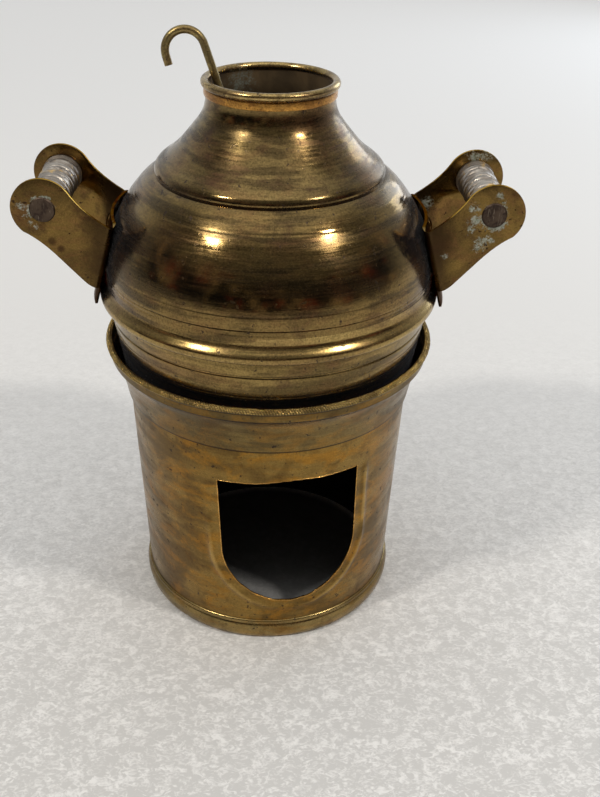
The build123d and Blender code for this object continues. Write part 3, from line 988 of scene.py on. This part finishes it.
def joined(name, pieces):
    work = bmesh.new()
    for piece in pieces:
        work.from_mesh(piece.data)
    mesh = bpy.data.meshes.new(name)
    work.to_mesh(mesh)
    work.free()
    whole = bpy.data.objects.new(name, mesh)
    bpy.context.scene.collection.objects.link(whole)
    for piece in pieces:
        bpy.data.objects.remove(piece)
    return whole


edgeBrassSkin = agedBrass("cut edge brass", tubeLook | {
    "bright": (0.75, 0.42, 0.12),
    "dull": (0.5, 0.27, 0.07),
    "brownAmount": 0.15,
    "rough": 0.2,
    "patchScale": 160.0,
})
footBrassSkin = agedBrass("foot brass", tubeLook | {
    "bright": (0.32, 0.23, 0.09),
    "dull": (0.2, 0.145, 0.06),
    "warmAmount": 0.3,
    "rough": 0.2,
})
collarBrassSkin = agedBrass("collar brass", tubeLook | {
    "creases": [(0.0756, 0.0005), (0.0884, 0.0006), (0.09115, 0.0004)],
    "bright": (0.20, 0.138, 0.05),
    "dull": (0.13, 0.09, 0.036),
    "lineTone": 1.0,
    "warmAmount": 0.3,
})
rimBrassSkin = agedBrass("rim brass", tubeLook | {
    "bright": (0.50, 0.36, 0.12),
    "dull": (0.22, 0.155, 0.055),
    "warmAmount": 0.1,
    # darker core: painted shade between the grains
    "inner": (0.12, 0.083, 0.033),
    "innerDark": (0.05, 0.034, 0.015),
    "innerRough": 0.4,
    "innerDull": 0.1,
    "rough": 0.2,
    "lineTone": 0.1,
    "patchScale": 120.0,
})
wireMaker = wireTree()
makeStandTube()
makeDoorEdge(wireMaker)
makeFootRing()
makeCollar()
makeRim(grainTree())
print("stand made")

# body

bodySizes = {
    "waistRadius": 49.1,
    "wall": 0.8,
    "beadFoot": 107.3,
    "beadMiddle": 110.9,
    "beadTop": 114.5,
    "shoulderRadius": 33.4,
    "shoulderHeight": 144.1,
    "shoulderHole": 31.4,
    "domeEnds": [(37.498, 141.318), (45.693, 129.448), (49.1, 114.5)],
    "domeLean": 22.0,           # degrees below level where the dome leaves the shoulder
    "domeMarks": [(115.5, 0.2, 0.16), (116.5, 0.16, 0.13), (117.3, 0.14, 0.1), (120.4, 0.12, 0.05),
                  (139.4, 0.14, 0.05)],
    "neckRadius": 18.2,
    "neckTop": 168.9,
    "throatHeight": 165.4,
    "neckEnds": [(20.405, 158.896), (25.6, 152.573), (31.0, 147.95)],
    "neckFoot": [(31.0, 147.95), (31.9, 147.25), (32.7, 146.45), (33.15, 145.6), (33.3, 144.9),
                 (33.15, 144.3)],
    "neckTuck": [(33.1, 144.1), (32.3, 144.1), (32.2, 145.1), (31.2, 146.6)],
    "domeWobble": 0.14,
}


def makeDome():
    sizes = bodySizes
    lean = math.radians(sizes["domeLean"])
    start = (sizes["shoulderRadius"], sizes["shoulderHeight"])
    run = arcRun(start, (math.cos(lean), -math.sin(lean)), sizes["domeEnds"], 0.3)
    wall = [(r + hz * sizes["wall"], z - hr * sizes["wall"]) for r, z, hr, hz in run][::6]
    face = [(r, z) for r, z, hr, hz in score(run, sizes["domeMarks"])]
    loop = [(sizes["shoulderHole"], sizes["shoulderHeight"])] + face
    loop += [(sizes["waistRadius"], sizes["beadMiddle"]),
             (sizes["waistRadius"] - sizes["wall"], sizes["beadMiddle"])]
    loop += wall[::-1]
    loop.append((sizes["shoulderHole"], wall[0][1]))
    dome = turnedPiece("domeShell", loop, 320, handWobble(sizes["domeWobble"], 0.4))
    return dress(dome, agedBrassSkin, "body", "aged_brass", "body_dome")


def makeNeckCone():
    sizes = bodySizes
    run = arcRun((sizes["neckRadius"], sizes["throatHeight"]), (0, -1), sizes["neckEnds"], 0.3)
    wall = [(r + hz * sizes["wall"], z - hr * sizes["wall"]) for r, z, hr, hz in run][::6]
    foot = smoothRun(sizes["neckFoot"], 0.2)
    face = [(r, z) for r, z, hr, hz in run + foot[1:]]
    loop = [(sizes["neckRadius"], sizes["neckTop"])] + face
    loop += sizes["neckTuck"] + wall[::-1]
    loop.append((sizes["neckRadius"] - sizes["wall"], sizes["neckTop"]))
    cone = turnedPiece("neckCone", loop, 288, handWobble(0.07, 5.2), len(face) + 2)
    return dress(cone, neckBrassSkin, "body", "aged_brass", "neck_cone")


bandSizes = {
    "face": [(18.35, 165.57), (18.58, 165.6), (18.65, 165.9), (18.68, 166.6), (18.65, 167.4),
             (18.58, 167.7), (18.35, 167.76)],
    "back": [(18.2, 167.76), (18.2, 165.57)],
    "wobble": 0.05,
}


def makeNeckBand():
    run = smoothRun(bandSizes["face"], 0.16)
    loop = [(r, z) for r, z, hr, hz in run] + bandSizes["back"]
    band = turnedPiece("neckBand", loop, 240, handWobble(bandSizes["wobble"], 9.1))
    return dress(band, copperSkin, "body", "copper_band", "neck_band")


lipSizes = {
    "radius": 18.2,
    "height": 169.0,
    "rollRadius": 1.2,
}


def makeNeckLip():
    roll = ringLoop(lipSizes["radius"], lipSizes["height"], lipSizes["rollRadius"], 26)
    lip = turnedPiece("neckLip", roll, 240, handWobble(0.05, 6.3))
    return dress(lip, lipBrassSkin, "body", "aged_brass", "neck_lip")


beadSizes = {
    "face": [(49.1, 114.5), (49.12, 113.2), (49.25, 112.3), (49.6, 111.5), (50.1, 110.85), (50.6, 110.3),
             (51.0, 109.75), (51.18, 109.3), (51.25, 108.85), (51.22, 108.35), (51.05, 107.85), (50.8, 107.5),
             (50.4, 107.3)],
}


def makeBead():
    run = smoothRun(beadSizes["face"], 0.22)
    loop = [(r, z) for r, z, hr, hz in run] + [(bodySizes["waistRadius"], bodySizes["beadFoot"])]
    bead = turnedPiece("beadRing", loop, 320, handWobble(0.03, 3.3))
    return dress(bead, beadBrassSkin, "body", "aged_brass", "body_bead")


skirtSizes = {
    "footRadius": 44.3,
    "foot": 78.0,
    "grooves": [(102.0, 0.3, -0.42), (98.6, 0.15, -0.05), (95.2, 0.15, -0.06)],  # height, half width, depth
}


def makeSkirt():
    sizes = bodySizes | skirtSizes
    corners = [(sizes["footRadius"], sizes["foot"]), (sizes["waistRadius"], sizes["beadFoot"]),
               (sizes["waistRadius"], sizes["beadMiddle"])]
    face = [(r, z) for r, z, hr, hz in score(lineRun(corners, 0.22), sizes["grooves"])]
    wall = [(r - sizes["wall"], z) for r, z in corners[::-1]]
    skirt = turnedPiece("bodySkirt", face + wall, 320)
    return dress(skirt, skirtBrassSkin, "body", "aged_brass", "body_skirt")


lipBrassSkin = agedBrass("lip brass", neckLook | {
    "bright": (0.46, 0.33, 0.13),
    "dull": (0.26, 0.18, 0.08),
    "rough": 0.2,
    "patchScale": 120.0,
})
# a lighter copy of the aged brass: painted light for the bead's bright band
beadBrassSkin = agedBrass("bead brass", brassLook | {
    "bright": (0.40, 0.28, 0.10),
    "dull": (0.24, 0.165, 0.062),
    "lineTone": 0.9,
    "rough": 0.19,
})
skirtBrassSkin = agedBrass("skirt brass", brassLook | {
    "bright": (0.29, 0.20, 0.07),
    "dull": (0.145, 0.10, 0.038),
})
makeDome()
makeNeckCone()
makeNeckBand()
makeNeckLip()
makeBead()
makeSkirt()
print("body made")

# handles

studSizes = {
    "radius": 2.25,
    "rise": 0.95,
    "rises": (8.6, 17.1),       # above the bead's middle
    "plateRadius": 51.4,
    "plateGap": 0.65,
    "domeRound": (0.217, 0.505),  # share of the way in and up the dome where the plate comes nearest
    "sinks": (0.05, 2.35),      # how far under the plate's face the outer and inner studs sit
}


def makeStuds(tree):
    # rivet heads outside and their clenched tails inside, on both sides
    sizes = bodySizes | studSizes
    inward, upward = sizes["domeRound"]
    roundRadius = sizes["waistRadius"] - inward * (sizes["waistRadius"] - sizes["shoulderRadius"])
    roundHeight = sizes["beadTop"] + upward * (sizes["shoulderHeight"] - sizes["beadTop"])
    slope = (sizes["plateRadius"] - roundRadius - sizes["plateGap"]) / (roundHeight - sizes["beadMiddle"])
    places, facings = [], []
    for side in (1, -1):
        for rise in sizes["rises"]:
            normal = Vector((side, 0, slope)).normalized()
            reach = sizes["plateRadius"] - slope * rise + sizes["wall"]
            face = Vector((side * reach, 0, sizes["beadMiddle"] + rise))
            for way, sink in zip((1, -1), sizes["sinks"]):
                places.append((face - normal * sink) * mm)
                facings.append(normal * way)
    source = pointCloud("studSeed", places, facings)
    values = {"Radius": sizes["radius"] * mm, "Rise": sizes["rise"] * mm, "Material": handleBrassSkin}
    studs = grown("rivetStuds", source, tree, values)
    studs.data.shade_smooth()
    return dress(studs, handleBrassSkin, "body", "aged_brass", "left_bracket_rivets", "right_bracket_rivets")


bracketSizes = {
    "bevel": 0.16,
    "bevelOver": 40,            # degrees, the edges that are eased
    "flatUnder": 1.0,           # degrees, the triangles that are joined
    "earReach": 52,             # past this the sheet is an ear, nearer it is the back plate
}


def makeBracket(side):
    # the folded sheet with its sharp cut edges eased, and the cut faces marked as bare metal
    sizes = bracketSizes
    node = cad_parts[side + "_bracket"]
    work = bmesh.new()
    work.from_mesh(node.data)
    bmesh.ops.remove_doubles(work, verts=work.verts, dist=1e-6)
    bmesh.ops.recalc_face_normals(work, faces=work.faces)
    flat = math.radians(sizes["flatUnder"])
    bmesh.ops.dissolve_limit(work, angle_limit=flat, verts=work.verts, edges=work.edges)
    least = math.radians(sizes["bevelOver"])
    sharp = [edge for edge in work.edges if len(edge.link_faces) == 2 and edge.calc_face_angle() > least]
    bmesh.ops.bevel(work, geom=sharp, offset=sizes["bevel"] * mm, segments=2, affect="EDGES", profile=0.6,
                    clamp_overlap=True)
    cut = work.faces.layers.float.new("cutEdge")
    for face in work.faces:
        onEar = abs(face.calc_center_median().x) > sizes["earReach"] * mm
        isCut = abs(face.normal.y) < 0.55 if onEar else abs(face.normal.z) > 0.5
        face[cut] = 1.0 if isCut else 0.0
    mesh = bpy.data.meshes.new(side + "Bracket")
    work.to_mesh(mesh)
    work.free()
    piece = bpy.data.objects.new(side + "Bracket", mesh)
    bpy.context.scene.collection.objects.link(piece)
    hardEdges(piece, 28)
    return dress(piece, handleBrassSkin, "body", "aged_brass", side + "_bracket")


gripSizes = {
    "half": 15.2,               # half its length
    "boreRadius": 3.66,
    "waistRadius": 4.55,
    "endRadius": 5.85,
    "flare": 1.7,
    "ribs": 9,
    "ribRise": 0.85,
    "lean": 1.3,        # how far a rib slants from one side of the grip to the other
    "gripX": 63.0,
    "gripZ": 137.0,
}


def makeGrip(side, sign):
    # sleeve with slanting ribs that run round it and pale flared ends
    sizes = gripSizes
    half, flare = sizes["half"], sizes["flare"]
    ribbed = half - flare
    rows, segments = 190, 72
    turns = [2 * math.pi * index / segments for index in range(segments)]

    def reachAt(along, angle):
        # distance from the grip's own axis, and how deep in a groove that place is
        slanted = along + sizes["lean"] * math.sin(angle + 0.4)
        share = abs(along) / ribbed
        if share < 1:
            base = sizes["waistRadius"] + 0.3 * share ** 2
            rib = abs(math.sin(math.pi * (slanted + ribbed) / ribbed * sizes["ribs"] / 2))
            uneven = 1 + 0.10 * math.sin(5.0 * along + sign) + 0.06 * math.sin(3 * angle + along)
            rise = math.sqrt(rib) * min(1.0, (1 - share) * 9)
            return base + sizes["ribRise"] * rise * uneven, 1 - rise
        edge = (abs(along) - ribbed) / flare
        rounded = sizes["endRadius"] - 0.25 * math.exp(-((1 - edge) / 0.08))
        lift = min(1.0, edge / 0.22)
        return (sizes["waistRadius"] + 0.3) * (1 - lift) + rounded * lift, 0.6 * (1 - lift)

    def build(work):
        hollow = work.verts.layers.float.new("hollow")

        def corner(along, angle, reach, depth):
            x = sign * sizes["gripX"] + reach * math.cos(angle)
            z = sizes["gripZ"] + reach * math.sin(angle)
            made = work.verts.new(Vector((x, along, z)) * mm)
            made[hollow] = depth
            return made

        rings = []
        for row in range(rows + 1):
            along = -half + 2 * half * row / rows
            rings.append([corner(along, angle, *reachAt(along, angle)) for angle in turns])
        for end in (half, -half):
            rings.append([corner(end, angle, sizes["boreRadius"], 0.0) for angle in turns])
        for here, there in zip(rings, rings[1:] + rings[:1]):
            for index in range(segments):
                after = (index + 1) % segments
                work.faces.new((here[index], here[after], there[after], there[index]))

    grip = newPiece(side + "Grip", build)
    hardEdges(grip, 50)
    return dress(grip, gripSkin, side + "_grip", "grip_metal", side + "_grip")


hookSizes = {
    "lean": (-0.347, 0.09, 1.0),
    "atMouth": (-15.9, 2.0, 171.2),
    "footHeight": 79.48,
    "stemHeight": 178.0,
    "crookRadius": 5.5,
    "crookSweep": 176.0,
    "leg": 2.6,
    "radius": 1.15,
    "unevenness": 0.14,
}


def makeHookWire(tree):
    # straight leaning stem, an open crook and a short leg
    sizes = hookSizes
    up = Vector(sizes["lean"]).normalized()
    outward = Vector((-1, 0, 0))
    side = (outward - up * outward.dot(up)).normalized()
    mouth = Vector(sizes["atMouth"])
    foot = mouth + up * ((sizes["footHeight"] - mouth.z) / up.z)
    crookStart = mouth + up * ((sizes["stemHeight"] - mouth.z) / up.z)
    centre = crookStart + side * sizes["crookRadius"]
    sweep = math.radians(sizes["crookSweep"])
    points = [foot.lerp(crookStart, index / 90) for index in range(90)]
    for index in range(49):
        angle = sweep * index / 48
        points.append(centre + (up * math.sin(angle) - side * math.cos(angle)) * sizes["crookRadius"])
    heading = side * math.sin(sweep) + up * math.cos(sweep)
    last = points[-1]
    points += [last + heading * (sizes["leg"] * index / 5) for index in range(1, 6)]
    path = pathPiece("wirePath", [point * mm for point in points])
    values = {
        "Radius": sizes["radius"] * mm,
        "Unevenness": sizes["unevenness"] * mm,
        "Material": wireBrassSkin,
    }
    wire = grown("hookWire", path, tree, values)
    hardEdges(wire, 50)
    return dress(wire, wireBrassSkin, "hook", "wire_brass", "hook_wire")


def paintNode(node, skin):
    # a piece whose CAD mesh is kept as it is
    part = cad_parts[node]
    part.data.materials.clear()
    part.data.materials.append(skin)


makeStuds(studTree())
for sideName, sideSign in (("left", -1), ("right", 1)):
    makeBracket(sideName)
    makeGrip(sideName, sideSign)
    paintNode(sideName + "_grip_rod", ironSkin)
makeHookWire(wireMaker)
paintNode("floor_plate", agedBrassSkin)
print("handles and hook made")

# floor, light and camera

floorLook = {
    "half": 3.0,                # metres
    "light": (0.90, 0.895, 0.88),
    "dark": (0.66, 0.655, 0.64),
    "mottleScale": 34.0,
    "mottleAmount": 0.5,
    "speckleScale": 230.0,
    "speckleAmount": 3.0,
    "fibreScale": (420.0, 650.0, 1.0),
    "fibreAmount": 3.2,
    "grainNear": 1.5,           # how strong the grain is close by; it is gone further off
    # tone of the painted shadow inside the stand
    "standShadow": (0.012, 0.011, 0.011),
    "farGlow": 0.12,
    "rough": 0.62,
}


def makeFloor():
    half = floorLook["half"]
    mesh = bpy.data.meshes.new("floor")
    corners = [(-half, -half, 0), (half, -half, 0), (half, half, 0), (-half, half, 0)]
    mesh.from_pydata(corners, [], [(0, 1, 2, 3)])
    floor = bpy.data.objects.new("floor", mesh)
    bpy.context.scene.collection.objects.link(floor)
    material, start = newMaterial("pale floor")
    place, x, y, z, reach = turnedPlace(start)
    near = floorLook["grainNear"] - y.smooth(-0.25, 0.25) * floorLook["grainNear"]
    mottle = start.noise(place, floorLook["mottleScale"], 3.0, 0.6, 0.4) - 0.5
    speckle = start.noise(place, floorLook["speckleScale"], 3.0, 0.7, 0.8) - 0.5
    fibrePlace = start.vector("MULTIPLY", place, floorLook["fibreScale"])
    fibres = start.noise(fibrePlace, 1.0, 2.0, 0.6, 1.5) - 0.5
    grain = mottle * floorLook["mottleAmount"] + speckle * floorLook["speckleAmount"]
    grain = grain + fibres * floorLook["fibreAmount"]
    # painted shade: the floor is darker towards the camera and lighter further off
    shade = grain * near + 1.05 - y.smooth(-0.35, 0.45)
    body = start.mixTone(shade, tone(*floorLook["light"]), tone(*floorLook["dark"]))
    # painted shadow on the floor inside the stand, lighter towards the door
    standShadow = (1 - reach.smooth(0.037, 0.0415)) * (0.2 + y.smooth(-0.036, -0.006) * 0.6)  # under the candle
    body = start.mixTone(standShadow, body, tone(*floorLook["standShadow"]))
    # painted light: the floor further off glows a little so it stays bright
    far = y.smooth(0.05, 1.2) * floorLook["farGlow"]
    finishMaterial(start, start.add("ShaderNodeBsdfPrincipled", None, {
        "Base Color": body,
        "Roughness": floorLook["rough"],
        "Emission Color": start.join(far, far, far),
        "Emission Strength": 1.0,
    }))
    mesh.materials.append(material)


lampSizes = {
    # degrees round from the front, degrees up, metres away, width, height, power and colour
    "lampLeft": (-54, 46, 1.3, 0.13, 0.06, 5.0, (1.0, 0.95, 0.88)),
    "lampRight": (58, 46, 1.3, 0.13, 0.06, 5.0, (1.0, 0.95, 0.88)),
    "window": (140, 14, 1.2, 0.5, 0.5, 2.0, (0.78, 0.87, 1.0)),
}


def makeLamp(name, azimuth, elevation, away, width, height, power, colour):
    data = bpy.data.lights.new(name, "AREA")
    data.shape = "RECTANGLE"
    data.size = width
    data.size_y = height
    data.energy = power
    data.color = colour
    lamp = bpy.data.objects.new(name, data)
    a, e = math.radians(azimuth), math.radians(elevation)
    way = Vector((math.sin(a) * math.cos(e), -math.cos(a) * math.cos(e), math.sin(e)))
    lamp.location = Vector((0, 0, 0.1)) + way * away  # aimed at the lantern's middle
    lamp.rotation_mode = "QUATERNION"
    lamp.rotation_quaternion = way.to_track_quat("Z", "Y")
    bpy.context.scene.collection.objects.link(lamp)


roomLook = {
    "dark": (0.015, 0.014, 0.013),
    "light": (0.30, 0.245, 0.19),
    "red": (0.20, 0.045, 0.03),
    "redAmount": 0.7,
    "ceiling": (0.17, 0.165, 0.155),
    "overhead": (1.05, 1.04, 1.02),
    "back": (0.60, 0.62, 0.64),
    "seen": (0.8, 0.8, 0.8),    # what the camera sees past the floor
    "patchScale": (5.5, 5.5, 3.0),
    "redScale": (7.0, 7.0, 5.0),
}


def makeWorld():
    world = bpy.data.worlds.new("studio")
    bpy.context.scene.world = world
    world.use_nodes = True
    tree = world.node_tree
    tree.nodes.clear()
    start = Signal(tree)
    way = start.add("ShaderNodeTexCoord", output="Generated")
    x, y, z = start.parts(way)
    room = start.noise(start.vector("MULTIPLY", way, roomLook["patchScale"]), 1.0, 2.0, 0.6, 0.5)
    red = start.noise(start.vector("MULTIPLY", way, roomLook["redScale"]), 1.0, 1.0, 0.5, 0.3)
    sky = start.mixTone(room.smooth(0.48, 0.66), tone(*roomLook["dark"]), tone(*roomLook["light"]))
    sky = start.mixTone(red.smooth(0.58, 0.66) * roomLook["redAmount"], sky, tone(*roomLook["red"]))
    sky = start.mixTone(z.smooth(0.30, 0.62), sky, tone(*roomLook["ceiling"]))
    sky = start.mixTone(z.smooth(0.74, 0.92), sky, tone(*roomLook["overhead"]))
    sky = start.mixTone((y + 0.1).smooth(0.0, 0.75), sky, tone(*roomLook["back"]))
    seen = start.add("ShaderNodeLightPath", output="Is Camera Ray")
    sky = start.mixTone(seen, sky, tone(*roomLook["seen"]))
    glow = start.add("ShaderNodeBackground", None, {"Color": sky, "Strength": 1.0})
    out = tree.nodes.new("ShaderNodeOutputWorld")
    tree.links.new(glow.socket, out.inputs["Surface"])


cameraSizes = {
    "lens": 44.04,
    "sensor": 36,
    "place": (0, -0.27519, 0.23456),
    "yaw": -2.155,              # degrees
    "pitch": 31.399,
    "roll": -1.513,
}


def makeCamera():
    data = bpy.data.cameras.new("camera")
    data.lens = cameraSizes["lens"]
    data.sensor_width = cameraSizes["sensor"]
    camera = bpy.data.objects.new("camera", data)
    camera.location = cameraSizes["place"]
    yaw, pitch, roll = [math.radians(cameraSizes[name]) for name in ("yaw", "pitch", "roll")]
    turn = (Matrix.Rotation(yaw, 3, "Z") @ Matrix.Rotation(-pitch, 3, "X")
            @ Matrix.Rotation(roll, 3, "Y") @ Matrix.Rotation(math.radians(90), 3, "X"))
    camera.rotation_mode = "QUATERNION"
    camera.rotation_quaternion = turn.to_quaternion()
    bpy.context.scene.collection.objects.link(camera)
    bpy.context.scene.camera = camera


makeFloor()
makeWorld()
for lampName, lampPlace in lampSizes.items():
    makeLamp(lampName, *lampPlace)
makeCamera()
print("studio made")
bpy.context.scene.view_settings.view_transform = "Standard"
